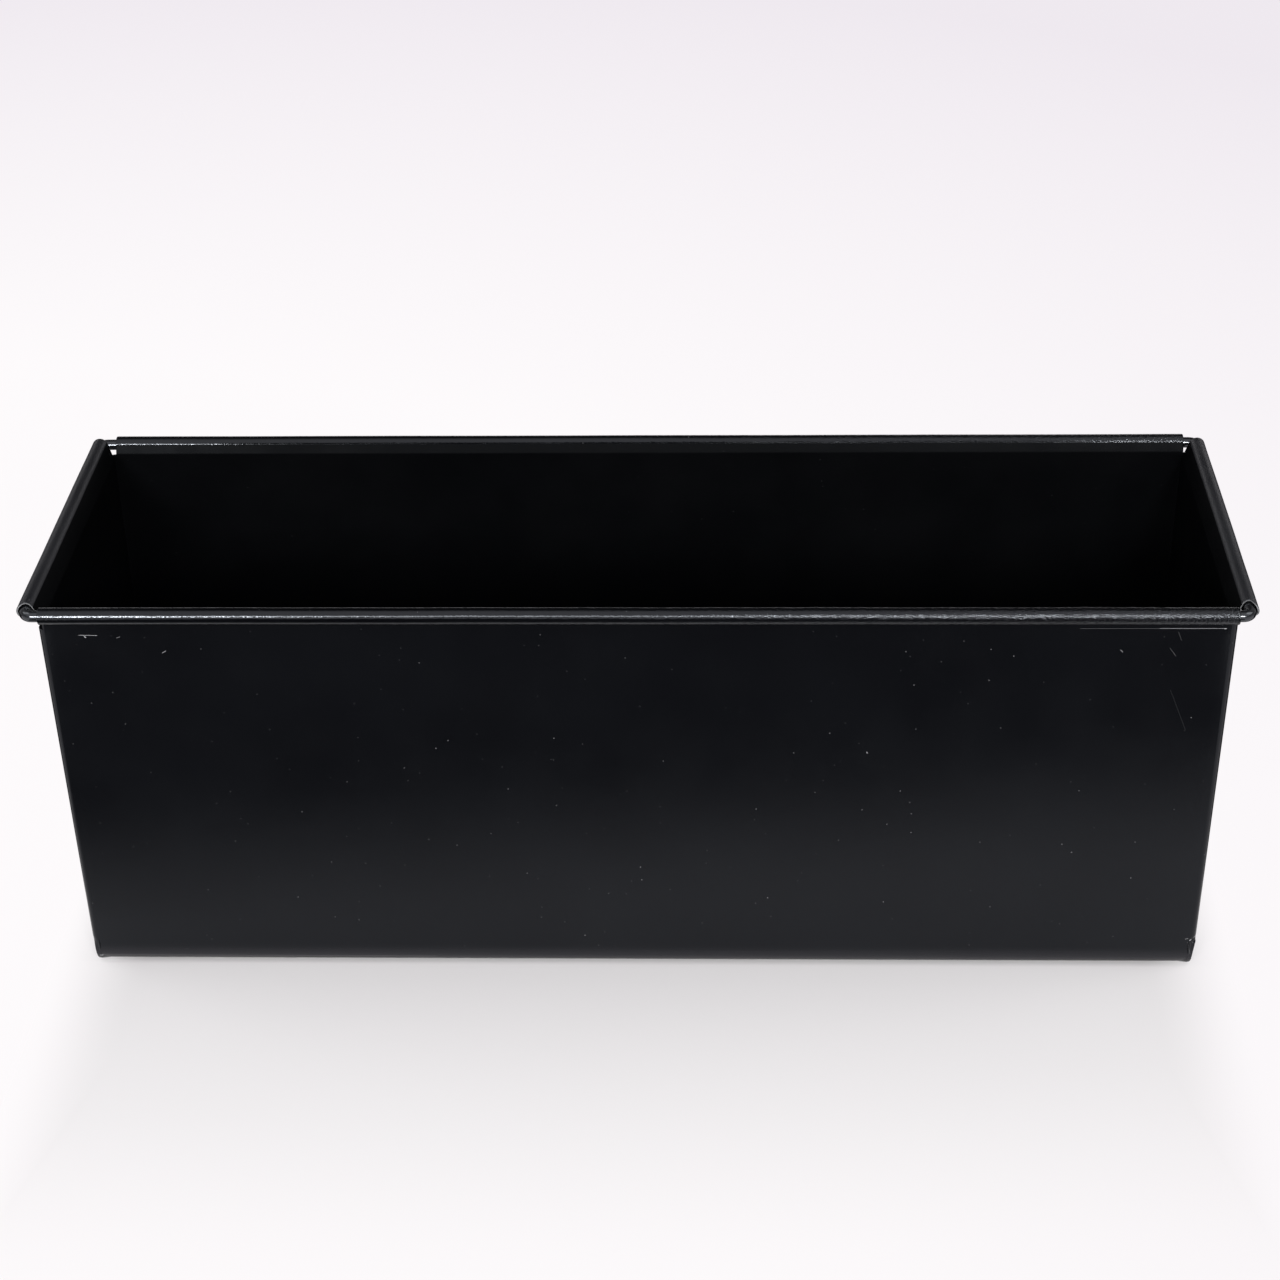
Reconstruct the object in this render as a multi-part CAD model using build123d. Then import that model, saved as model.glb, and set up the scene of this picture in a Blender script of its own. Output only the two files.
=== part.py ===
"""Open loaf pan for a sliding cover: one steel blank folded up into a box, its rim curled round a wire loop.

Millimetres, +Z up. The origin is the centre of the underside, +X runs along the pan, +Y to its back.
"""

import os
from math import asin, atan2, cos, degrees, radians, tan

from build123d import *

# Sheet and wire
sheet = 0.6  # thickness of the coated steel blank
wire_diameter = 3.2
wire_play = 0.18  # between the wire and the curl round it
wire_corner_radius = 3.0  # of the wire's centre line
wire_butt_gap = 0.5  # between the wire's two ends, inside the back curl

# Pan as a whole, over its rim
rim_length = 338.8
rim_width = 116.1
pan_height = 122.0
rim_overhang = 4.96  # from the wall's outside to the curl's outermost line
wall_lean_angle = 1.72  # degrees that each wall leans outwards

# Bends
bottom_bend_radius = 5.0  # outside, where the bottom turns up into the walls
corner_bend_radius = 2.0  # outside, where a long wall turns into its corner flap
neck_bend_radius = 1.0  # inside, where a wall turns outwards to go round the wire
neck_rise = 0.46  # to that turn, from a long curl's underside or from the top of the folds
curl_wrap_angle = 235.0  # degrees that the curl goes round the wire, from its top

# Ends of the curls, and the relief cut where two of them meet
curl_setback = 0.2  # of a long curl's end from the corner flap's outer face
corner_slit = 0.2  # between an end curl and the long wall's inner face
notch_depth = 0.75  # of the relief under a long curl's end, from the corner flap's outer face
notch_height = 1.7  # of that relief, from the curl's underside down to the top of the folds

# Corner flaps, each a double layer folded flat on the end wall
flap_reach = 38.0  # from the pan's corner to the flap's trimmed edge
flap_foot = 4.5  # from the corner to where the free fold leaves the underside
tip_front_radius = 4.0  # that the flap's lowest tip is pinched round by, towards the long wall
tip_end_radius = 1.5  # and towards the end
flap_trim_radius = 4.0
flap_seat_share = 0.5  # share of the end wall's thickness that carries the flap

# Overrun of every cutting block past the faces that it cuts
overrun = 5.0

# Worked out from the sizes above
lean = tan(radians(wall_lean_angle))
wall = sheet / cos(radians(wall_lean_angle))  # a leaning wall measured level
flap = 2 * wall
curl_radius = wire_diameter / 2 + wire_play + sheet
wire_height = pan_height - curl_radius
curl_underside = wire_height - curl_radius
fold_top = curl_underside - notch_height  # where the corner folds end and the rims begin
bottom_corner_length = rim_length - 2 * rim_overhang - 2 * lean * wire_height
bottom_width = rim_width - 2 * rim_overhang - 2 * lean * wire_height
bottom_length = bottom_corner_length - 2 * flap


def widened(bottom_size, height):
    """A bottom size, out to the two leaning walls at a height."""
    return bottom_size + 2 * lean * height


def leaning_block(length, width, bottom, top):
    """A block between two levels whose four sides lean outwards; the sizes are those at level zero."""
    foot = Rectangle(widened(length, bottom), widened(width, bottom))
    return Pos(0, 0, bottom) * extrude(foot, top - bottom, taper=-wall_lean_angle)


def upright_edges(block):
    """The block's four leaning corner edges."""
    return [edge for edge in block.edges() if edge.bounding_box().size.Z > sheet * 2]


def end_flaps():
    """The double corner flaps on both end walls, cut from a block that reaches their outer faces."""
    block = leaning_block(bottom_corner_length, bottom_width, 0, fold_top)
    foot_edges = block.edges().group_by(Axis.Z)[0]
    around = fillet(upright_edges(block), corner_bend_radius)
    around &= fillet(foot_edges.filter_by(Axis.X), tip_front_radius)
    around &= fillet(foot_edges.filter_by(Axis.Y), tip_end_radius)
    corner = bottom_width / 2
    trimmed = corner - flap_reach
    # The free fold halves the angle between the corner's two leaning edges
    fold_rise = tan(radians(45 + 2 * wall_lean_angle))
    outline = Polyline(
        (corner + lean * fold_top + overrun, 0),
        (corner - flap_foot, 0),
        (trimmed, (flap_reach - flap_foot) * fold_rise),
        (trimmed, fold_top),
        (corner + lean * fold_top + overrun, fold_top),
        close=True,
    )
    profile = make_face(outline)
    turn = profile.vertices().sort_by(Axis.X)[:2].sort_by(Axis.Y)[0]
    profile = fillet(turn, flap_trim_radius)
    prism = extrude(Plane.YZ * profile, rim_length / 2 + overrun)
    prism += mirror(prism, about=Plane.XZ)
    carrier = leaning_block(bottom_length - 2 * wall * flap_seat_share, rim_width, 0, fold_top)
    one_end = (around & prism) - carrier
    return one_end + mirror(one_end, about=Plane.YZ)


def rim_profile(face, wire_place, neck_height):
    """Section of a wall's upper edge, from the top of the folds: it necks outwards, then goes round the wire.

    face is where the wall's outer face stands at the top of the folds, from the pan's middle.
    """
    wire = Vector(wire_place, wire_height)
    bore = curl_radius - sheet
    neck = Vector(face + lean * (neck_height - fold_top), neck_height)
    to_wire = wire - neck
    neck_angle = degrees(atan2(to_wire.X, to_wire.Y) - asin(bore / to_wire.length))
    across_wall = Vector(1, 0).rotate(Axis.Z, -wall_lean_angle)
    across_neck = Vector(1, 0).rotate(Axis.Z, -neck_angle)
    turn = neck + (across_wall + across_neck) * (neck_bend_radius / (1 + across_wall.dot(across_neck)))
    bends = {}
    for side, neck_radius, round_radius in (
        ("outer", neck_bend_radius, bore),
        ("inner", neck_bend_radius + sheet, curl_radius),
    ):
        start = 180 - wall_lean_angle
        bends[side] = (
            CenterArc(turn, neck_radius, start, wall_lean_angle - neck_angle),
            CenterArc(wire, round_radius, 180 - neck_angle, neck_angle - 90 - curl_wrap_angle),
        )
    outer_neck, outer_round = bends["outer"]
    inner_neck, inner_round = bends["inner"]
    outer_foot = (face, fold_top)
    inner_foot = (face - wall, fold_top)
    edges = [
        Line(inner_foot, inner_neck @ 0),
        inner_neck,
        Line(inner_neck @ 1, inner_round @ 0),
        inner_round,
        Line(inner_round @ 1, outer_round @ 1),
        outer_round,
        Line(outer_round @ 0, outer_neck @ 1),
        outer_neck,
        Line(outer_neck @ 0, outer_foot),
        Line(outer_foot, inner_foot),
    ]
    return make_face(Curve() + edges)


def long_rims():
    """The upper edges of the two long walls, curled round the wire, with a relief under each curl's end."""
    face = widened(bottom_width, fold_top) / 2
    profile = rim_profile(face, rim_width / 2 - curl_radius, curl_underside + neck_rise)
    corner = widened(bottom_corner_length, curl_underside) / 2
    back = extrude(Plane.YZ * profile, corner - curl_setback, both=True)
    relief_place = Pos(corner - notch_depth, 0, fold_top)
    relief = relief_place * Box(overrun, rim_width, notch_height, align=(Align.MIN, Align.CENTER, Align.MIN))
    back -= relief
    back -= mirror(relief, about=Plane.YZ)
    return back + mirror(back, about=Plane.XZ)


def end_rims():
    """The upper edges of the two end walls: they neck out over the flaps, then curl round the wire."""
    face = widened(bottom_length, fold_top) / 2
    profile = rim_profile(face, rim_length / 2 - curl_radius, fold_top + neck_rise)
    half_width = widened(bottom_width, fold_top) / 2 - wall - corner_slit
    right = extrude(Plane.XZ * profile, half_width, both=True)
    return right + mirror(right, about=Plane.YZ)


def pan_body():
    """The folded blank: bottom, four walls, four corner flaps and the curled upper edges."""
    rounded = leaning_block(bottom_corner_length, bottom_width, 0, fold_top)
    rounded = fillet(upright_edges(rounded), corner_bend_radius)
    folded = leaning_block(bottom_length, bottom_width, 0, fold_top)
    folded = fillet(folded.edges().group_by(Axis.Z)[0], bottom_bend_radius)
    inside = leaning_block(bottom_length - 2 * wall, bottom_width - 2 * wall, sheet, fold_top + overrun)
    inside = fillet(inside.edges().group_by(Axis.Z)[0], bottom_bend_radius - sheet)
    return (rounded & folded) + end_flaps() - inside + long_rims() + end_rims()


def rim_wire():
    """The round wire bent into a loop inside the curls, its ends butted in the middle of the back."""
    loop_length = rim_length - 2 * curl_radius
    loop_width = rim_width - 2 * curl_radius
    path = Pos(0, 0, wire_height) * RectangleRounded(loop_length, loop_width, wire_corner_radius).wire()
    start = path @ 0
    section = Plane(origin=start, z_dir=path % 0) * Circle(wire_diameter / 2)
    loop = sweep(section, path=path)
    gap = Box(wire_butt_gap, 2 * wire_diameter, 2 * wire_diameter)
    return loop - Pos(0, loop_width / 2, wire_height) * gap


nodes = {
    "pan_body": pan_body,
    "rim_wire": rim_wire,
}

os.makedirs("parts", exist_ok=True)
for name, make in nodes.items():
    solid = make()
    solid.label = name
    export_step(solid, f"parts/{name}.step")
    print(name, len(solid.solids()), "solid", round(solid.volume), "cubic millimetres")
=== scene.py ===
"""Open loaf pan with a wired rim: one coated steel sheet folded into a box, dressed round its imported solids.

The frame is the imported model's: metres, +X along the pan, +Y to its back, +Z up, the table at zero.
The pan's own sections give lengths in millimetres, as a maker's drawing does, and a mesh takes them
times MM. The studio's sections are in metres.
"""

import bmesh
import bpy
import numpy as np
from mathutils import Matrix


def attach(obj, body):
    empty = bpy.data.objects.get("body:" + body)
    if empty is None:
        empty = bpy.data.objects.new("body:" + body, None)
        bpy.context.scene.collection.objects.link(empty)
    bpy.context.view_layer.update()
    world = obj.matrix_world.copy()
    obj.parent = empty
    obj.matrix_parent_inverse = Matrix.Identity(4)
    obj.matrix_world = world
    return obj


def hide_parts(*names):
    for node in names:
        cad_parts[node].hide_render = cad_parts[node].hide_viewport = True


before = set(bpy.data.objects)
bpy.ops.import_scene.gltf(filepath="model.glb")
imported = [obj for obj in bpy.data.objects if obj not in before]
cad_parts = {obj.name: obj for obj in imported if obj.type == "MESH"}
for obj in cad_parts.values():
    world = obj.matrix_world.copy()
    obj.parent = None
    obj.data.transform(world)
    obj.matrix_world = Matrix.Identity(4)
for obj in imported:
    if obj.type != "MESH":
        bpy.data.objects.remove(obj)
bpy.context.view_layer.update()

# Pan body: one blank of 0.6 mm steel, coated black on both faces, then folded up on a press.
# The bottom turns up into four walls on 5 mm bends, the walls lean out a little, and the
# upper edge of each necks outwards and is curled round the rim wire, like a long tube.
MM = 0.001
rim_length = 338.8
rim_width = 116.1
pan_height = 122.0
sheet = 0.6
wire_radius = 1.6
wire_play = 0.18
lean_angle = np.radians(1.72)
lean = np.tan(lean_angle)
wall = sheet / np.cos(lean_angle)  # a leaning wall measured level
rim_overhang = 4.96  # from the wall's outside to the curl's outermost line
curl_bore = wire_radius + wire_play
curl_radius = curl_bore + sheet
wire_height = pan_height - curl_radius
curl_underside = wire_height - curl_radius
relief_height = 1.7  # of the cut under a long curl's ends
relief_depth = 0.45
fold_top = curl_underside - relief_height  # where the corner folds end and the rims begin

# Half sizes where the faces' straight lines would meet the table: over the flaps, long walls and end walls
corner_foot = rim_length / 2 - rim_overhang - lean * wire_height
long_foot = rim_width / 2 - rim_overhang - lean * wire_height
end_foot = corner_foot - 2 * wall
blank_half_length = end_foot + lean * fold_top
blank_half_width = long_foot + lean * fold_top

bottom_bend = 5.0
blank_corner = 0.8  # outside, where two walls meet behind the flaps
inner_corner = 0.4
neck_bend = 1.0
neck_rise = 0.46
curl_wrap = np.radians(235.0)
edge_chamfer = 0.16

# The hand-set rim differs from corner to corner. Sides count from the front, 0, by the right, 1, to the left, 3
long_curl_ends = {0: (1.17, 0.47), 2: (1.85, -0.50)}  # setback of both ends, and shift, anticlockwise
end_curl_ends = {1: (-1.6, 1.6), 3: (0.0, 2.5)}  # run past the end wall, to the front and to the back
end_curl_slants = {1: 2.6, 3: 1.0}  # further run to the front at the curl's outermost line
end_run_rise = 1.0  # height over the curl's underside in which those runs grow

# Columns along a long side, along an end and round a corner, and rows in a section
long_count = 121
end_count = 41
side_counts = (long_count, end_count) * 2
blank_corner_count = 6
floor_rows = 6
bend_rows = 12
wall_rows = 30
neck_rows = 6
curl_rows = 46
lip_turns = np.radians([2.4, 4.8, 6.6])  # past the wrap's end, where the lip is rounded off
lip_thinning = np.array([0.05, 0.15, 0.27])

# Pressed sheet is never quite flat: the walls bow and the curls wander by a few hundredths
bow = 0.07
bow_waves = ((1.0, 31.0, 45.0, 0.0), (0.7, 17.0, -23.0, 1.3), (0.5, 9.5, np.inf, 2.1))
bow_skew = 0.7  # of the place along the ends, so that they don't bow as the long walls do
bow_foot = 7.0
bow_top = fold_top - 3.0
wander_waves = ((0.025, 13.0, 1), (0.015, 5.3, 2))
wander_rise = 0.6
wander_lag = 7  # columns that the tube's rise and fall comes behind its sway
wander_phase = 0.4
wander_start = 1.5  # height over the curl's underside in which it sets in

sharp_angle = np.radians(32.0)
merge_reach = 2e-6  # metres
least_edge = 1e-7


def leaning_face(level, foot, bend):
    """A wall's face, as its distance from the pan's middle at each level.

    It is the straight line foot + lean * level, and below it an arc of the bend's radius that is
    tangent to that line and to the level at which level is zero.
    """
    level = np.asarray(level, float)
    middle = foot + lean * bend - bend * np.sqrt(1 + lean**2)
    arc = middle + np.sqrt(np.clip(bend**2 - (bend - level) ** 2, 0, None))
    return np.where(level < bend * (1 - np.sin(lean_angle)), arc, foot + lean * level)


def ring_columns(corner_count):
    """The columns of a ring round the pan, anticlockwise from its front left corner.

    Each has its shares of the half length and half width, and the direction in which it faces. Along
    a side the share runs from -1 to 1, and round a corner the direction turns by a quarter circle.
    The last value is the column's calm: 1 in the middle of a side, falling to 0 at its ends.
    """
    columns = []
    for side, count in enumerate(side_counts):
        facing = (side - 1) * np.pi / 2
        share = np.linspace(-1, 1, count)
        turn = np.linspace(0, np.pi / 2, corner_count + 2)[1:-1]
        along = np.concatenate([share, np.ones(corner_count)])
        angle = facing + np.concatenate([np.zeros(count), turn])
        half_shares = (
            np.cos(facing) - along * np.sin(facing),
            np.sin(facing) + along * np.cos(facing),
        )
        columns.append(np.stack([*half_shares, np.cos(angle), np.sin(angle), 1 - along**2]))
    return np.concatenate(columns, 1)


def rings(columns, half_length, half_width, corner, level):
    """Rings stacked row by row, as an array of rows, columns and x, y, z.

    A column stands at its shares of the half sizes less the corner radius, plus that radius along
    the direction in which it faces.
    """
    sizes = np.broadcast_arrays(half_length, half_width, corner, level)
    half_length, half_width, corner, level = (np.asarray(size, float)[:, None] for size in sizes)
    u, v, facing_x, facing_y = columns[:4]
    x = u * (half_length - corner) + facing_x * corner
    y = v * (half_width - corner) + facing_y * corner
    return np.stack([x, y, level + np.zeros_like(x)], -1)


def out_of_true(points, columns):
    """The rings with their sides pushed in and out a little, as pressed sheet is.

    The push is a sum of slow sines of the place along the pan and the level, times a window that is
    zero at the folds, the bottom bend and the rim.
    """
    along = points[..., 0] + bow_skew * points[..., 1]
    level = points[..., 2]
    rise = np.sin(np.pi * np.clip((level - bow_foot) / (bow_top - bow_foot), 0, 1)) ** 2
    slow = sum(
        weight * np.sin(along / length + level / height + phase) for weight, length, height, phase in bow_waves
    )
    push = bow * rise * columns[4] * slow
    pushed = points.copy()
    pushed[..., 0] += push * columns[2]
    pushed[..., 1] += push * columns[3]
    return pushed


def blank_shell(columns, depth, bend, corner):
    """One face of the folded blank, this deep under its outer face, as rings from the bottom's middle upwards.

    The rings widen from nothing across the flat bottom, then follow the bend and the leaning wall.
    """
    set_in = wall * depth / sheet - lean * depth
    bend_angle = np.linspace(0, np.pi / 2 - lean_angle, bend_rows)
    wall_levels = np.linspace(bottom_bend * (1 - np.sin(lean_angle)), fold_top, wall_rows + 1)[1:]
    levels = np.concatenate([bend * (1 - np.cos(bend_angle)), wall_levels - depth])
    half_length = leaning_face(levels, end_foot - set_in, bend)
    half_width = leaning_face(levels, long_foot - set_in, bend)
    share = np.linspace(0, 1, floor_rows + 1)[:-1]
    bottom = rings(columns, share * half_length[0], share * half_width[0], share * corner, depth)
    sides = rings(columns, half_length, half_width, corner, levels + depth)
    return np.concatenate([bottom, out_of_true(sides, columns)])


def closed(grid):
    """The grid with its first column again after its last, so that it goes right round."""
    return np.concatenate([grid, grid[:, :1]], 1)


def rim_section(face, wire_place, neck_level, foot_rises):
    """The sheet's outer and inner face in a section across a rim, as matching points up to the lip.

    Up the leaning wall through the given rises over the fold's top, round the neck's small arc, straight to
    the curl, then round the wire's centre until the wrap is complete, where the lip is rounded off. The
    outer face bears on the wire.
    """
    foot_rises = np.asarray(foot_rises)
    neck = np.array([face + lean * (neck_level - fold_top), neck_level])
    wire = np.array([wire_place, wire_height])
    to_wire = wire - neck
    neck_angle = np.arctan2(to_wire[0], to_wire[1]) - np.arcsin(curl_bore / np.hypot(*to_wire))
    across_wall = np.array([np.cos(lean_angle), -np.sin(lean_angle)])
    across_neck = np.array([np.cos(neck_angle), -np.sin(neck_angle)])
    turn = neck + (across_wall + across_neck) * neck_bend / (1 + across_wall @ across_neck)
    neck_arc = np.pi - np.linspace(lean_angle, neck_angle, neck_rows)
    lip = np.pi / 2 - curl_wrap
    curl_arc = np.concatenate([np.linspace(np.pi - neck_angle, lip, curl_rows), lip - lip_turns])
    thinning = np.concatenate([np.zeros(curl_rows), lip_thinning])
    faces = []
    for neck_radius, curl_side, inward, foot in (
        (neck_bend, curl_bore, 1, face),
        (neck_bend + sheet, curl_radius, -1, face - wall),
    ):
        radius = curl_side + inward * thinning
        straight = np.stack([foot + lean * foot_rises, fold_top + foot_rises], -1)
        neck_round = turn + neck_radius * np.stack([np.cos(neck_arc), np.sin(neck_arc)], -1)
        curl = wire + radius[:, None] * np.stack([np.cos(curl_arc), np.sin(curl_arc)], -1)
        faces.append(np.concatenate([straight, neck_round, curl]))
    return faces


def rim_grids(section, spans, shares, foot_spans, shift, phase):
    """The curl of one side as grids: its two faces, its lip and its two cut ends, before it is turned round.

    A point of the section is carried along the side by its share of the section row's span, and then by
    that row's shift. The tube wanders by a sum of sines along the rim, and its ends are chamfered.
    """
    outer, inner = section
    thickness = inner - outer
    chamfer = edge_chamfer * thickness / np.linalg.norm(thickness, axis=1)[:, None]
    loose = np.clip((outer[:, 1] - curl_underside) / wander_start, 0, 1)[:, None]
    grids = []
    for face, pulled, foot_span in ((outer, chamfer, foot_spans[0]), (inner, -chamfer, foot_spans[1])):
        row_spans = spans.copy()
        row_spans[0] = foot_span
        along = row_spans[:, None] * shares
        along[1:, 1] = -(row_spans[1:] - edge_chamfer)
        along[1:, -2] = row_spans[1:] - edge_chamfer
        along += shift[:, None]
        wander = sum(size * np.sin(along / length + turns * phase) for size, length, turns in wander_waves)
        across = face[:, :1] + loose * wander
        up = face[:, 1:] + loose * wander_rise * np.roll(wander, wander_lag, axis=1)
        for end in (0, -1):
            across[1:, end] += pulled[1:, 0]
            up[1:, end] += pulled[1:, 1]
        grids.append(np.stack([along, across, up], -1))
    first, second = grids
    lip = np.stack([first[-1], second[-1]])
    ends = [np.stack([first[:, end], second[:, end]]) for end in (0, -1)]
    return first, second, lip, ends


def turned(grid, side):
    """A grid of one side, given as along, outwards and up, turned to face the front, right, back or left."""
    along, outwards, up = grid[..., 0], grid[..., 1], grid[..., 2]
    facing = (side - 1) * np.pi / 2
    x = outwards * np.cos(facing) - along * np.sin(facing)
    y = outwards * np.sin(facing) + along * np.cos(facing)
    return np.stack([x, y, up], -1)


def add_object(name, data):
    """A new object in the scene, at the origin, that shows a mesh, lamp or camera."""
    shown = bpy.data.objects.new(name, data)
    bpy.context.scene.collection.objects.link(shown)
    return shown


def make_piece(name, coated_grids):
    """A closed mesh from point grids that share their edges, given as pairs of a coating and its grids.

    Neighbouring rows and columns of each grid span its quads. Points that fall together are merged,
    which also closes a row drawn together into a pole, and the faces are turned outwards.
    """
    points, faces, coats, first = [], [], [], 0
    for coat, (_, grids) in enumerate(coated_grids):
        for grid in grids:
            rows, columns = grid.shape[:2]
            number = first + np.arange(rows * columns).reshape(rows, columns)
            corners = (number[:-1, :-1], number[:-1, 1:], number[1:, 1:], number[1:, :-1])
            faces.append(np.stack(corners, -1).reshape(-1, 4))
            coats.append(np.full(len(faces[-1]), coat))
            points.append(grid.reshape(-1, 3) * MM)
            first += rows * columns
    mesh = bpy.data.meshes.new(name)
    mesh.from_pydata(np.concatenate(points).tolist(), [], np.concatenate(faces).tolist())
    for material, _ in coated_grids:
        mesh.materials.append(material)
    mesh.polygons.foreach_set("material_index", np.concatenate(coats))
    work = bmesh.new()
    work.from_mesh(mesh)
    bmesh.ops.remove_doubles(work, verts=work.verts, dist=merge_reach)
    bmesh.ops.dissolve_degenerate(work, edges=work.edges, dist=least_edge)
    bmesh.ops.recalc_face_normals(work, faces=work.faces)
    work.to_mesh(mesh)
    work.free()
    mesh.shade_smooth()
    mesh.set_sharp_from_angle(angle=sharp_angle)
    return add_object(name, mesh)


def feed(tree, socket, value):
    """Joins another node's output to a socket, or sets the socket itself where the value is a constant."""
    if isinstance(value, bpy.types.NodeSocket):
        tree.links.new(value, socket)
    else:
        socket.default_value = value


def noise(tree, place, scale, detail, seed):
    """Noise with so many cells a metre, in the slice of four-dimensional noise that the seed names."""
    texture = tree.nodes.new("ShaderNodeTexNoise")
    texture.noise_dimensions = "4D"
    texture.inputs["W"].default_value = seed
    texture.inputs["Scale"].default_value = scale
    texture.inputs["Detail"].default_value = detail
    tree.links.new(place, texture.inputs["Vector"])
    return texture.outputs["Fac"]


def eased(tree, value, start, end, at_start, at_end):
    """A value eased from one range into another, by 3 t^2 - 2 t^3 of its clipped share t of the first range."""
    mapping = tree.nodes.new("ShaderNodeMapRange")
    mapping.interpolation_type = "SMOOTHSTEP"
    tree.links.new(value, mapping.inputs["Value"])
    for socket, number in (("From Min", start), ("From Max", end), ("To Min", at_start), ("To Max", at_end)):
        mapping.inputs[socket].default_value = number
    return mapping.outputs["Result"]


def maths(tree, operation, first, second=0.0):
    """The result of one operation on two numbers, or on the first alone."""
    node = tree.nodes.new("ShaderNodeMath")
    node.operation = operation
    feed(tree, node.inputs[0], first)
    feed(tree, node.inputs[1], second)
    return node.outputs["Value"]


def vector_maths(tree, operation, first, second, output="Vector"):
    """The result of one operation on two vectors, or on a vector and its scale."""
    node = tree.nodes.new("ShaderNodeVectorMath")
    node.operation = operation
    feed(tree, node.inputs[0], first)
    feed(tree, node.inputs["Scale"] if operation == "SCALE" else node.inputs[1], second)
    return node.outputs[output]


def blended(tree, weight, first, second):
    """The first colour times one less the weight, plus the second colour times the weight."""
    mix = tree.nodes.new("ShaderNodeMix")
    mix.data_type = "RGBA"
    tree.links.new(weight, mix.inputs["Factor"])
    for socket, value in ((mix.inputs[6], first), (mix.inputs[7], second)):
        feed(tree, socket, (*value, 1) if isinstance(value, tuple) else value)
    return mix.outputs[2]


def bumped(tree, height, strength, depth, under=None):
    """The surface's normal tilted by the slope of a height, on top of a bump that lies under it."""
    bump = tree.nodes.new("ShaderNodeBump")
    feed(tree, bump.inputs["Strength"], strength)
    bump.inputs["Distance"].default_value = depth * MM
    tree.links.new(height, bump.inputs["Height"])
    if under:
        tree.links.new(under, bump.inputs["Normal"])
    return bump.outputs["Normal"]


# What every coated face shares. Noise and dust are in cells a metre, marks in the coating's own share
reflection_tint = (0.88, 0.93, 1.0, 1)
cloud_scale, cloud_detail, cloud_range = 22.0, 3.0, (0.35, 0.65)
gloss_scale, gloss_detail, gloss_range = 60.0, 4.0, (0.3, 0.7)
ripple_scale, ripple_detail, ripple_strength, ripple_depth = 170.0, 2.0, 0.35, 0.05
grain_detail, grain_strength = 3.0, 0.6
calm_start, calm_end = -50.0, 120.0  # along the pan, where the grain grows from calm to its whole strength
dust_cells = 300.0
speck_core, speck_edge = 0.030, 0.056  # share of a cell in which a speck fades out
faint_specks, faint_dust = 0.6, 0.15  # most cells' specks are faint, down to this share of the strongest
mark_colour = (0.34, 0.34, 0.35)
mark_roughness = 0.25
line_mark_core = 0.3  # share of a line's half width that shows in full, for scratches and painted highlights
# Painted sheen: a paler colour low on the outside, over the bottom bend, paints the table's reflection there
painted_sheen_colour = (0.0145, 0.0140, 0.0160)
sheen_fade = 0.4  # share of the sheen level at which the painted sheen is whole
sheen_foot = (0.27, 0.36)  # shares of it between which the bend's underside stays black


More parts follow.
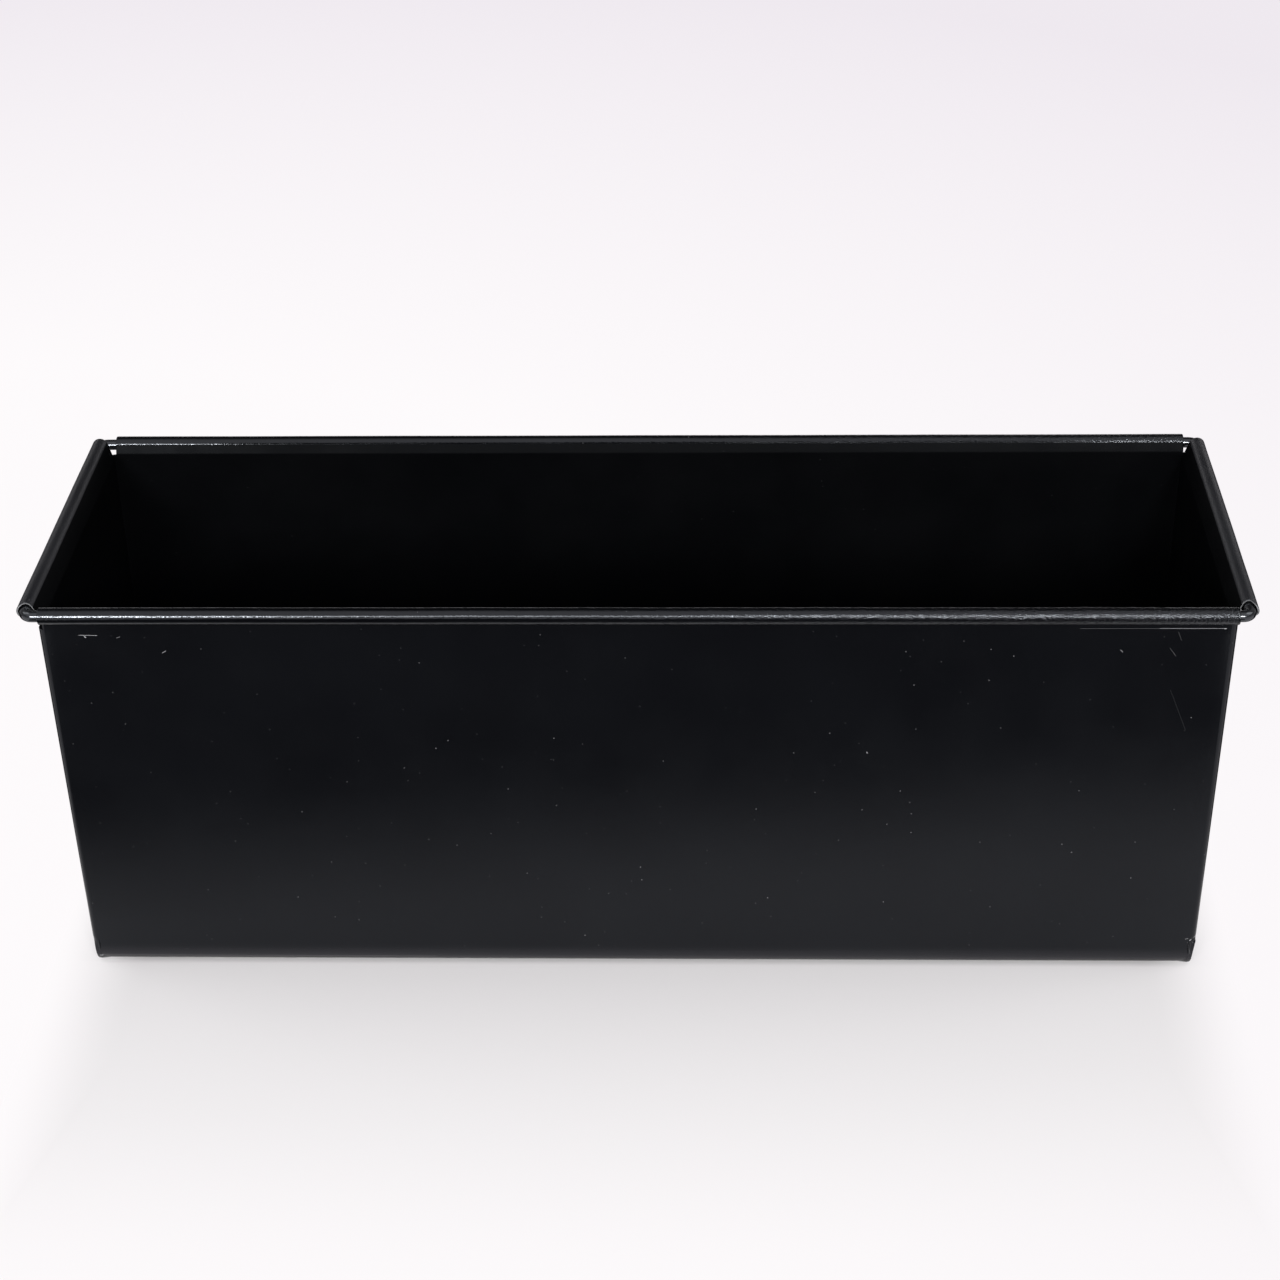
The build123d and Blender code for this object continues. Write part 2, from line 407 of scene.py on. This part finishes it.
def coating_material(
    name,
    colours,
    roughness,
    specular,
    grain_scale,
    grain_depth,
    seed,
    dust=0.5,
    sheen_level=0.0,
    scratches_and_glints=(),
    left_calm=1.0,
):
    """Satin black coating: two near-black colours in slow clouds, a fine grain and a slow ripple as bump.

    Under the sheen level the colour pales as a painted sheen, which stands in for the table's reflection on the
    bottom bend, down to the bend's lowest part.
    Dust is a sparse Voronoi pattern, a speck wherever a cell's point is close, and as strong as its cell's
    random colour says. A scratch, or a painted highlight drawn as a line, is the distance to the line between
    its two ends, below its half width.
    The grain's strength rises from the calm share on the pan's left to its whole on the right.
    """
    material = bpy.data.materials.new(name)
    material.use_nodes = True
    tree = material.node_tree
    shader = tree.nodes["Principled BSDF"]
    shader.inputs["Specular IOR Level"].default_value = specular
    shader.inputs["Specular Tint"].default_value = reflection_tint
    place = tree.nodes.new("ShaderNodeTexCoord").outputs["Object"]
    split_place = tree.nodes.new("ShaderNodeSeparateXYZ")
    tree.links.new(place, split_place.inputs["Vector"])

    clouds = eased(tree, noise(tree, place, cloud_scale, cloud_detail, seed), *cloud_range, 0.0, 1.0)
    colour = blended(tree, clouds, *colours)
    # Painted sheen: the colour pales over the bottom bend, as a painted reflection of the table
    if sheen_level:
        height, level = split_place.outputs["Z"], sheen_level * MM
        from_above = eased(tree, height, level, sheen_fade * level, 0.0, 1.0)
        from_below = eased(tree, height, sheen_foot[0] * level, sheen_foot[1] * level, 0.0, 1.0)
        colour = blended(tree, maths(tree, "MULTIPLY", from_above, from_below), colour, painted_sheen_colour)

    cells = tree.nodes.new("ShaderNodeTexVoronoi")
    cells.inputs["Scale"].default_value = dust_cells
    tree.links.new(place, cells.inputs["Vector"])
    near = eased(tree, cells.outputs["Distance"], speck_core, speck_edge, 1.0, 0.0)
    split_colour = tree.nodes.new("ShaderNodeSeparateColor")
    tree.links.new(cells.outputs["Color"], split_colour.inputs["Color"])
    chosen = eased(tree, split_colour.outputs["Red"], 0.0, faint_specks, dust, faint_dust * dust)
    marks = maths(tree, "MULTIPLY", near, chosen)
    # scratches, and painted highlights drawn as lines the same way
    for start, end, half_width, weight in scratches_and_glints:
        start, end = np.array(start) * MM, np.array(end) * MM
        span = end - start
        offset = vector_maths(tree, "SUBTRACT", place, tuple(start))
        share = vector_maths(tree, "DOT_PRODUCT", offset, tuple(span / (span @ span)), "Value")
        share = maths(tree, "MAXIMUM", maths(tree, "MINIMUM", share, 1.0), 0.0)
        nearest = vector_maths(tree, "SCALE", tuple(span), share)
        distance = vector_maths(tree, "DISTANCE", offset, nearest, "Value")
        line = eased(tree, distance, line_mark_core * half_width * MM, half_width * MM, weight, 0.0)
        marks = maths(tree, "MAXIMUM", marks, line)
    tree.links.new(blended(tree, marks, colour, mark_colour), shader.inputs["Base Color"])

    gloss = eased(tree, noise(tree, place, gloss_scale, gloss_detail, seed), *gloss_range, *roughness)
    marked_gloss = maths(tree, "ADD", gloss, maths(tree, "MULTIPLY", marks, mark_roughness))
    tree.links.new(marked_gloss, shader.inputs["Roughness"])

    ripple_height = noise(tree, place, ripple_scale, ripple_detail, seed)
    ripple = bumped(tree, ripple_height, ripple_strength, ripple_depth)
    strength = grain_strength
    if left_calm < 1:
        calm_range = (calm_start * MM, calm_end * MM, left_calm * grain_strength, grain_strength)
        strength = eased(tree, split_place.outputs["X"], *calm_range)
    grain_height = noise(tree, place, grain_scale, grain_detail, seed)
    tree.links.new(bumped(tree, grain_height, strength, grain_depth, ripple), shader.inputs["Normal"])
    return material


# Marks on the front wall and its right front corner: scratches, then painted highlights low on the bottom bend
# and on the corner's ledge and facet; where each starts and ends, its half width and how strongly it shows
front_marks_and_glints = (
    ((-153.0, -52.9, 112.15), (-148.0, -52.9, 112.05), 0.11, 0.8),
    ((-151.5, -52.8, 111.75), (-151.2, -52.8, 111.45), 0.20, 1.0),
    ((-142.6, -52.8, 111.3), (-141.7, -52.8, 111.6), 0.12, 0.45),
    ((-130.4, -52.7, 106.5), (-129.4, -52.7, 107.1), 0.15, 0.55),
    ((121.5, -52.9, 114.25), (143.0, -52.9, 114.3), 0.08, 0.20),
    ((143.0, -52.9, 114.3), (161.0, -52.9, 114.3), 0.12, 0.5),
    ((160.5, -52.9, 114.25), (160.8, -52.9, 114.25), 0.20, 0.9),
    ((148.1, -52.9, 113.2), (149.1, -52.8, 110.6), 0.09, 0.12),
    ((146.2, -52.7, 108.1), (147.9, -52.7, 105.6), 0.09, 0.18),
    ((147.3, -52.3, 94.7), (152.4, -51.95, 81.7), 0.10, 0.04),
    ((132.8, -52.7, 107.5), (133.4, -52.7, 106.9), 0.14, 0.45),
    ((64.4, -51.7, 74.3), (64.6, -51.7, 74.0), 0.20, 0.5),
    # painted highlights from here on: a line and a dot along the bottom bend, then glints on the right front
    # corner's ledge and facet
    ((-158.4, -49.1, 2.75), (-60.0, -49.1, 2.75), 0.30, 0.08),
    ((-159.2, -49.1, 2.8), (-158.8, -49.1, 2.8), 0.50, 0.5),
    ((157.9, -49.85, 10.2), (158.6, -49.85, 10.4), 0.20, 0.3),
    ((159.2, -49.85, 9.75), (159.9, -49.75, 10.15), 0.25, 0.95),
    ((158.6, -49.7, 9.1), (159.7, -49.5, 4.7), 0.15, 0.12),
)
# Painted shade: the inside is a darker, barely reflecting copy of the coating, which paints the shade in the
# pan's hollow
shaded_inside_coating = coating_material(
    "satin_black_inside_painted_shade",
    colours=((0.0011, 0.0012, 0.0015), (0.0017, 0.0018, 0.0021)),
    roughness=(0.36, 0.48),
    specular=0.03,
    grain_scale=1300.0,
    grain_depth=0.03,
    seed=0.0,
    dust=0.04,
)
outside_coating = coating_material(
    "satin_black_outside",
    colours=((0.0024, 0.0026, 0.0034), (0.0030, 0.0033, 0.0042)),
    roughness=(0.17, 0.24),
    specular=0.25,
    grain_scale=1300.0,
    grain_depth=0.03,
    seed=0.0,
    # painted sheen, a painted reflection of the table, up to this height in millimetres
    sheen_level=7.5,
    scratches_and_glints=front_marks_and_glints,
)
# Painted shade: the long curls get a darker copy of the coating, which darkens them between their highlights;
# they are glossier too
rim_coating = coating_material(
    "rubbed_black_rim_painted_shade",
    colours=((0.0010, 0.0011, 0.0016), (0.0018, 0.0020, 0.0026)),
    roughness=(0.08, 0.13),
    specular=0.50,
    grain_scale=1500.0,
    grain_depth=0.45,
    seed=3.0,
    left_calm=0.2,
)
# Painted light: the end curls get a paler copy of the coating, which paints the light that they catch from the
# sides
lit_end_rim_coating = coating_material(
    "dull_black_rim_painted_light",
    colours=((0.0080, 0.0083, 0.0098), (0.0115, 0.0119, 0.0138)),
    roughness=(0.28, 0.38),
    specular=0.40,
    grain_scale=1700.0,
    grain_depth=0.10,
    seed=6.0,
)
cut_edge = coating_material(
    "thin_coat_on_cut_edge",
    colours=((0.120, 0.122, 0.125), (0.190, 0.192, 0.195)),
    roughness=(0.35, 0.50),
    specular=0.50,
    grain_scale=1300.0,
    grain_depth=0.03,
    seed=4.0,
)

blank_columns = ring_columns(blank_corner_count)
outer_shell = blank_shell(blank_columns, 0.0, bottom_bend, blank_corner)
inner_shell = blank_shell(blank_columns, sheet, bottom_bend - sheet, inner_corner)
relief_rises = (0.0, 0.3, relief_height)
long_section = rim_section(
    blank_half_width, rim_width / 2 - curl_radius, curl_underside + neck_rise, relief_rises
)
end_section = rim_section(blank_half_length, rim_length / 2 - curl_radius, fold_top + neck_rise, (0.0,))
wall_grids, inside_grids, cut_grids = [closed(outer_shell)], [closed(inner_shell)], []
curl_grids = ([], [])  # of the long curls, and of the end curls
first_column = 0
for side, count in enumerate(side_counts):
    if side in long_curl_ends:
        section, blank_half = long_section, blank_half_length
        setback, shift = long_curl_ends[side]
        above_relief = np.arange(len(section[0])) >= len(relief_rises)
        spans = corner_foot + lean * curl_underside - np.where(above_relief, setback, relief_depth)
        shift = shift * above_relief
    else:
        section, blank_half = end_section, blank_half_width
        to_front, to_back = end_curl_ends[side]
        risen = np.clip((section[0][:, 1] - curl_underside) / end_run_rise, 0, 1)
        outward = np.clip((section[0][:, 0] - rim_length / 2 + curl_radius) / curl_bore, 0, 1)
        to_front = risen * (to_front + end_curl_slants[side] * outward)
        to_back = risen * to_back
        spans = blank_half_width - blank_corner + (to_front + to_back) / 2
        shift = (to_back - to_front) / 2 * (2 - side)  # anticlockwise is to the back on the right only
    foot_spans = (blank_half - blank_corner, blank_half - wall - inner_corner)
    shares = np.linspace(-1, 1, count)
    first, second, lip, ends = rim_grids(section, spans, shares, foot_spans, shift, side + wander_phase)
    neck_top = len(first) - curl_rows - len(lip_turns)
    wall_grids.append(turned(first[: neck_top + 1], side))
    inside_grids.append(turned(second[: neck_top + 1], side))
    curl_grids[side % 2].extend(turned(grid, side) for grid in (first[neck_top:], second[neck_top:], lip))
    cut_grids += [turned(grid, side) for grid in ends]
    corner_end = first_column + count - 1
    ledge = np.arange(corner_end, corner_end + blank_corner_count + 2) % blank_columns.shape[1]
    wall_grids.append(np.stack([outer_shell[-1, ledge], inner_shell[-1, ledge]]))
    first_column += count + blank_corner_count
pan_sheet = make_piece(
    "pan_body_sheet",
    (
        (outside_coating, wall_grids),
        (shaded_inside_coating, inside_grids),
        (rim_coating, curl_grids[0]),
        (lit_end_rim_coating, curl_grids[1]),
        (cut_edge, cut_grids),
    ),
)
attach(pan_sheet, "root")
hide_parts("pan_body")

# Corner flaps: at each corner the blank's spare square is folded double and pressed flat on the end
# wall, so the pan has no seam to leak. The fold runs up slantwise from the bottom corner, the rest of
# the flap is trimmed upright, and the corner's foot is pinched into a small flat facet above its tip.
flap_reach = 38.0
flap_foot = 4.5
flap_rise = np.tan(np.radians(45.0) + 2 * lean_angle)
flap_turn = 4.0  # over which the slanting fold turns into the trimmed edge
flap_top = fold_top + 0.06
flap_least_reach = 1.4
flap_seat = 0.2  # of its back in the end wall
flap_lift = 0.10  # of its free edge off that wall
flap_start = 2.0  # inboard of the blank's end, behind the long wall's surface
front_sink, back_sink = 0.02, 0.3
corner_bend = 2.0
facet_height = 9.3
facet_foot_leg, facet_top_leg = 0.7, 2.6
facet_foot_fall, facet_top_fall = 0.12, 0.52
facet_fold_share = 0.35  # of the facet's columns, for the small fold at its inboard side
fold_radius = 0.3
foot_bulge = 0.25
tip_radius = 0.3
tip_front = 4.2
dent_rise, dent_height = 0.7, 0.5
back_corner, back_turn, back_leg_share = 2.0, 0.6, 0.85
back_margin = 0.9
corner_columns = 13
face_columns = 11
edge_depths = np.array([0.0, 0.05, 0.15, 0.30, 0.45, 0.55, 0.60])
edge_round = 0.8  # of the folded edge
edge_step = 0.06  # of the trimmed edge's corner
edge_change = 2.0  # over which the folded edge becomes a trimmed one
slit_depth, slit_width = 0.22, 0.08  # between the two layers at the trimmed edge

# A flap's rows are closest together round the bend at its tip and at the facet's top
flap_levels = np.concatenate(
    [
        [0, 0.05, 0.12, 0.22, 0.36, 0.55, 0.8, 1.1, 1.45, 1.85, 2.3, 2.8, 3.4, 4.1],
        np.linspace(4.85, 8.6, 8),
        np.linspace(8.8, 11.4, 19),
        np.linspace(12, 46, 35),
        np.linspace(48, flap_top, 16),
    ]
)

# At the left and right end: how far the foot is pinched in, how much lower the flap ends, the height over
# which its facet runs out, and the dent above the facet
flap_ends = (
    ("left", -1, 0.75, 1.75, 4.5, 0.0),
    ("right", 1, 0.95, 0.0, 0.45, 0.22),
)


def flap_grids(level, pinch, ledge, dent):
    """One corner flap as grids: its outer face, its back, and the joins between them.

    Both faces are lines in plan, carried up the levels. They start under the long wall's surface, go round
    the corner and run inboard to the free edge, which stands at the smaller of the slanting fold's line and
    the trimmed edge's, with a rounded turn between them. The facet's legs shrink towards the tip.
    """
    level = level[:, None]
    low = np.clip(1 - level / facet_height, 0, 1)
    blank_end = leaning_face(level, end_foot, bottom_bend)
    wall_front = leaning_face(level, long_foot, bottom_bend)
    end = leaning_face(level, corner_foot, tip_radius) - pinch * low * (1 + foot_bulge * (1 - low))
    front = leaning_face(level, long_foot, tip_front)
    slant = flap_foot + level / flap_rise
    turn = np.clip(0.5 + (flap_reach - slant) / flap_turn, 0, 1)
    reach = slant * turn + flap_reach * (1 - turn) - 0.5 * flap_turn * turn * (1 - turn)
    reach = np.maximum(reach - (long_foot + lean * level - front), flap_least_reach)

    quarter = np.linspace(0, np.pi / 2, corner_columns)
    dimple = dent * np.exp(-(((level - facet_height - dent_rise) / dent_height) ** 2)) * np.sin(2 * quarter)
    round_depth = corner_bend * (1 - np.sin(quarter)) + dimple
    round_inboard = corner_bend * (1 - np.cos(quarter)) + dimple
    leg = facet_foot_leg + (facet_top_leg - facet_foot_leg) * (1 - low)
    fall = facet_foot_fall + (facet_top_fall - facet_foot_fall) * (1 - low)
    along_facet = np.linspace(0, 1 + facet_fold_share, corner_columns)
    share = np.clip(along_facet, 0, 1)
    fold_turn = np.clip(along_facet - 1, 0, facet_fold_share) / facet_fold_share * np.pi / 2
    facet_depth = leg + (fold_radius - leg) * share - fold_radius * np.sin(fold_turn)
    facet_inboard = fall * share + fold_radius * (1 - np.cos(fold_turn))
    flat = np.clip((facet_height - level) / ledge, 0, 1)
    flat = flat * flat * (3 - 2 * flat)
    depth = round_depth * (1 - flat) + facet_depth * flat
    inboard = round_inboard * (1 - flat) + facet_inboard * flat

    across = np.linspace(0, 1, face_columns + 1)[1:]
    face_start = inboard[:, -1:]
    face_inboard = face_start + across * (reach - edge_round - face_start)
    bullet = reach - edge_round + edge_round * np.sqrt(1 - ((edge_depths - wall) / wall) ** 2)
    slit = slit_depth * np.exp(-(((edge_depths - wall) / slit_width) ** 2))
    square = reach - edge_step * (edge_depths == 0) - slit
    trimmed = np.clip((slant - flap_reach) / edge_change + 0.5, 0, 1)
    edge_inboard = bullet * (1 - trimmed) + square * trimmed
    face_lift = flap_lift * (face_inboard / flap_reach) ** 2
    edge_lift = flap_lift * (edge_inboard / flap_reach) ** 2
    outer_x = [
        blank_end - flap_start,
        blank_end - blank_corner,
        end - depth,
        end + face_lift,
        end - edge_depths + edge_lift,
    ]
    outer_y = [wall_front - front_sink, wall_front, front - inboard, front - face_inboard, front - edge_inboard]

    back_depth = back_corner - back_turn * np.sin(quarter)
    back_leg = np.minimum(back_corner, reach - back_margin)
    back_inboard = back_leg * (1 - back_leg_share * np.cos(quarter))
    back_face = back_leg + across * (reach - edge_round - back_leg)
    back_x = [
        blank_end - flap_start,
        blank_end - blank_corner,
        end - back_depth,
        end - 2 * wall - flap_seat + np.zeros_like(back_face),
        end - 2 * wall + edge_depths + edge_lift,
    ]
    back_start = wall_front - back_sink
    back_y = [back_start, back_start, front - back_inboard, front - back_face, front - edge_inboard]
    outer, back = (
        np.stack(np.broadcast_arrays(np.concatenate(x, 1), np.concatenate(y, 1), level), -1)
        for x, y in ((outer_x, outer_y), (back_x, back_y))
    )
    outer[:, -1] = back[:, -1] = (outer[:, -1] + back[:, -1]) / 2
    start = np.stack([outer[:, 0], back[:, 0]])
    caps = [np.stack([outer[row], back[row]]) for row in (0, -1)]
    return [outer, back, start, *caps]


for end_name, end_sign, pinch, lower, ledge, dent in flap_ends:
    levels = flap_levels * (1 - lower / flap_top)
    for side_name, side_sign in (("front", -1), ("back", 1)):
        grids = [grid * (end_sign, side_sign, 1) for grid in flap_grids(levels, pinch, ledge, dent)]
        flap = make_piece(f"corner_flap_{side_name}_{end_name}", ((outside_coating, grids),))
        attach(flap, "root")
        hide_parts("pan_body")

# Rim wire: 3.2 mm round steel wire bent into one loop that stiffens the rim, coated with the pan.
# It lies inside the four curls and shows bare only where it turns the corners between their ends.
# Its two ends are cut square and butt inside the back curl.
wire_corner = 2.3
wire_inward = 0.10
wire_sink = 0.13
butt_gap = 0.5
wire_corner_count = 15
wire_round_count = 25
wire_coating = coating_material(
    "black_wire_coating",
    colours=((0.0050, 0.0054, 0.0062), (0.0080, 0.0085, 0.0095)),
    roughness=(0.10, 0.16),
    specular=0.80,
    grain_scale=1300.0,
    grain_depth=0.03,
    seed=5.0,
)
loop_half_length = rim_length / 2 - curl_radius - wire_inward
loop_half_width = rim_width / 2 - curl_radius - wire_inward
loop_height = wire_height - wire_sink
wire_round = np.linspace(0, 2 * np.pi, wire_round_count)
sideways = wire_radius * np.cos(wire_round)
tube = rings(
    ring_columns(wire_corner_count),
    loop_half_length + sideways,
    loop_half_width + sideways,
    wire_corner + sideways,
    loop_height + wire_radius * np.sin(wire_round),
)
butt_column = long_count + end_count + 2 * wire_corner_count + long_count // 2  # the middle of the back
tube = closed(np.roll(tube, -butt_column, axis=1))
tube[:, 0, 0] = -butt_gap / 2
tube[:, -1, 0] = butt_gap / 2
end_faces = []
for end in (0, -1):
    middle = (tube[0, end, 0], loop_half_width, loop_height)
    end_faces.append(np.stack([tube[:, end], np.broadcast_to(middle, tube[:, end].shape)], 1))
rim_wire = make_piece("rim_wire_loop", ((wire_coating, [tube, *end_faces]),))
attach(rim_wire, "root")
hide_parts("rim_wire")

# Table: a plain pale top that keeps the pan's shadow near the pan, and turns into a glowing white
# ground further away. It is a flat sheet on which the pan stands loose, and isn't part of it.
table_half = 4.0
table_colour = (0.715, 0.702, 0.705)
ground_middle = (-0.3, 0.0, 0.0)
ground_tones = ((0.40, (0.985, 0.960, 0.972, 1)), (1.0, (0.860, 0.815, 0.865, 1)))
ground_start = {"X": (0.146, 0.174), "Y": (0.09, 0.21)}  # from the pan's middle, along it and across it


def flat_rectangle(left, right, near, far, level):
    """The four corners of a level rectangle, anticlockwise."""
    return [(left, near, level), (right, near, level), (right, far, level), (left, far, level)]


def flat_object(name, corners, materials, material_index):
    """An object of separate rectangles, given by their corners in fours, with a material's number for each."""
    mesh = bpy.data.meshes.new(name)
    mesh.from_pydata(corners, [], np.arange(len(corners)).reshape(-1, 4).tolist())
    for material in materials:
        mesh.materials.append(material)
    mesh.polygons.foreach_set("material_index", material_index)
    return add_object(name, mesh)


def plain_material(name, colour, roughness, specular):
    """A material of one colour and one finish all over, and its shader."""
    material = bpy.data.materials.new(name)
    material.use_nodes = True
    shader = material.node_tree.nodes["Principled BSDF"]
    shader.inputs["Base Color"].default_value = (*colour, 1)
    shader.inputs["Roughness"].default_value = roughness
    shader.inputs["Specular IOR Level"].default_value = specular
    return material, shader


table_paint, paint = plain_material("pale_table", table_colour, roughness=0.7, specular=0.1)
tree = table_paint.node_tree
place = tree.nodes.new("ShaderNodeTexCoord").outputs["Object"]
ground_tone = tree.nodes.new("ShaderNodeValToRGB")
for element, (position, tone) in zip(ground_tone.color_ramp.elements, ground_tones):
    element.position = position
    element.color = tone
tree.links.new(vector_maths(tree, "DISTANCE", place, ground_middle, "Value"), ground_tone.inputs["Fac"])
ground = tree.nodes.new("ShaderNodeEmission")
tree.links.new(ground_tone.outputs["Color"], ground.inputs["Color"])
split_place = tree.nodes.new("ShaderNodeSeparateXYZ")
tree.links.new(place, split_place.inputs["Vector"])
along_pan, across_pan = (
    eased(tree, maths(tree, "ABSOLUTE", split_place.outputs[axis]), *reach, 0.0, 1.0)
    for axis, reach in ground_start.items()
)
light_path = tree.nodes.new("ShaderNodeLightPath")
shown = light_path.outputs["Is Camera Ray"]
for ray in ("Is Glossy Ray", "Is Transmission Ray"):
    shown = maths(tree, "MAXIMUM", shown, light_path.outputs[ray])
surface = tree.nodes.new("ShaderNodeMixShader")
weight = maths(tree, "MULTIPLY", shown, maths(tree, "MAXIMUM", along_pan, across_pan))
tree.links.new(weight, surface.inputs["Fac"])
tree.links.new(paint.outputs["BSDF"], surface.inputs[1])
tree.links.new(ground.outputs["Emission"], surface.inputs[2])
tree.links.new(surface.outputs["Shader"], tree.nodes["Material Output"].inputs["Surface"])
table_corners = flat_rectangle(-table_half, table_half, -table_half, table_half, 0.0)
table = flat_object("table", table_corners, [table_paint], [0])

# Card: black studio card that only reflections see, and that gives the glossy edges their dark outline.
# Sheets of it lie on the table round the pan, and those in front and behind fade into a bright strip
# beside it. One more piece stands upright over the pan. None of it is part of the pan.
card_level = 0.0015
card_reach = 2.0
card_side = 0.18

# The left, right, near and far edges of the sheets on the table, then the edges of the upright piece
fading_parts = ((-0.235, 0.215, -card_reach, -0.07), (-card_side, card_side, 0.08, card_reach))
solid_parts = ((-card_reach, -card_side, -0.02, card_reach), (card_side, card_reach, -0.02, card_reach))
upright_left, upright_right, upright_place = -0.148, 0.150, -0.035
upright_foot, upright_top = 0.124, 0.190

# Which way a fading sheet thins out, from where to where, and its cover at both
front_fade = ((0.11, 1.0, 0.0), (-0.158, -0.072, 1.0, 0.0))
back_fade = ((0.0, 1.0, 0.0), (0.08, 0.17, 0.0, 1.0))
solid_card, _ = plain_material("black_card", (0.02, 0.02, 0.02), roughness=0.9, specular=0.0)
fading_card = solid_card.copy()
tree = fading_card.node_tree
place = tree.nodes.new("ShaderNodeTexCoord").outputs["Object"]
fades = [
    eased(tree, vector_maths(tree, "DOT_PRODUCT", place, way, "Value"), *reach)
    for way, reach in (front_fade, back_fade)
]
tree.links.new(maths(tree, "MAXIMUM", *fades), tree.nodes["Principled BSDF"].inputs["Alpha"])
card_corners = sum((flat_rectangle(*part, card_level) for part in fading_parts + solid_parts), [])
card_corners += [
    (upright_left, upright_place, upright_foot),
    (upright_right, upright_place, upright_foot),
    (upright_right, upright_place, upright_top),
    (upright_left, upright_place, upright_top),
]
card = flat_object("black_card", card_corners, [fading_card, solid_card], [0, 0, 1, 1, 1])
card.visible_camera = False
card.visible_diffuse = False
card.visible_shadow = False

# Studio: a room that glows low down in front and behind and faintly at both sides, under a brighter
# ceiling. A long softbox in front, low over the camera, is joined by a stronger one near each of its
# ends and by one at each side.
room_colour = (1.0, 0.975, 1.0, 1)
ceiling_way = (0.0, -0.5, 0.87)

# Each glow runs between two parts of its direction, and between two strengths
low_glow_up = (0.05, 0.26, 1.30, 0.0)
low_glow_sideways = (0.25, 0.45, 1.0, 0.1)
ceiling_glow_up = (0.55, 1.0, 0.03, 0.9)
side_glow_sideways = (0.2, 0.4, 0.0, 0.20)
world = bpy.data.worlds.new("studio")
bpy.context.scene.world = world
world.use_nodes = True
tree = world.node_tree
direction = tree.nodes.new("ShaderNodeTexCoord").outputs["Generated"]
split_direction = tree.nodes.new("ShaderNodeSeparateXYZ")
tree.links.new(direction, split_direction.inputs["Vector"])
to_side = maths(tree, "ABSOLUTE", split_direction.outputs["X"])
to_ceiling = vector_maths(tree, "DOT_PRODUCT", direction, ceiling_way, "Value")
low_glow = maths(
    tree,
    "MULTIPLY",
    eased(tree, split_direction.outputs["Z"], *low_glow_up),
    eased(tree, to_side, *low_glow_sideways),
)
ceiling_glow = eased(tree, to_ceiling, *ceiling_glow_up)
side_glow = eased(tree, to_side, *side_glow_sideways)
room_glow = maths(tree, "ADD", maths(tree, "ADD", low_glow, ceiling_glow), side_glow)
background = tree.nodes["Background"]
background.inputs["Color"].default_value = room_colour
tree.links.new(room_glow, background.inputs["Strength"])

# Softboxes: where each stands, what it aims at, its width and height, and its watts
softboxes = (
    ("front_softbox", (0.0, -1.415, 0.754), (0, -0.05, 0.12), (1.5, 0.30), 10.0),
    ("front_left_softbox", (-0.51, -1.35, 0.55), (-0.15, -0.05, 0.12), (0.26, 0.15), 9.0),
    ("front_right_softbox", (0.42, -1.35, 0.72), (0.15, -0.05, 0.12), (0.20, 0.18), 9.0),
    ("left_softbox", (-1.0, 0.1, 1.15), (0, 0, 0.06), (0.8, 0.8), 3.3),
    ("right_softbox", (1.0, -0.1, 1.15), (0, 0, 0.06), (0.8, 0.8), 4.2),
)
for name, place, aim, size, watts in softboxes:
    light = bpy.data.lights.new(name, "AREA")
    light.shape = "RECTANGLE"
    light.size, light.size_y = size
    light.energy = watts
    away = np.array(place) - np.array(aim)
    away /= np.linalg.norm(away)
    side = np.cross((0, 0, 1), away)
    side /= np.linalg.norm(side)
    turn = Matrix(np.stack([side, np.cross(away, side), away], 1).tolist()).to_4x4()
    add_object(name, light).matrix_world = Matrix.Translation(place) @ turn

# Camera: fitted to the edges of the pan in the photograph, whose frame is square. It stands a little
# to the right, three quarters of a metre in front of the pan, and looks down on it.
photo_pixels = 1280
focal_pixels = 2906.0
camera_place = (0.0292, -0.7499, 0.4936)
pitch, yaw, roll = np.radians((28.764, 2.263, -1.083))
view = bpy.data.cameras.new("photograph")
view.sensor_width = 36.0
view.lens = focal_pixels / photo_pixels * view.sensor_width
view.clip_start = 0.01
camera = add_object("photograph", view)
camera.matrix_world = (
    Matrix.Translation(camera_place)
    @ Matrix.Rotation(yaw, 4, "Z")
    @ Matrix.Rotation(np.pi / 2 - pitch, 4, "X")
    @ Matrix.Rotation(roll, 4, "Z")
)
bpy.context.scene.camera = camera
bpy.context.scene.view_settings.view_transform = "Standard"
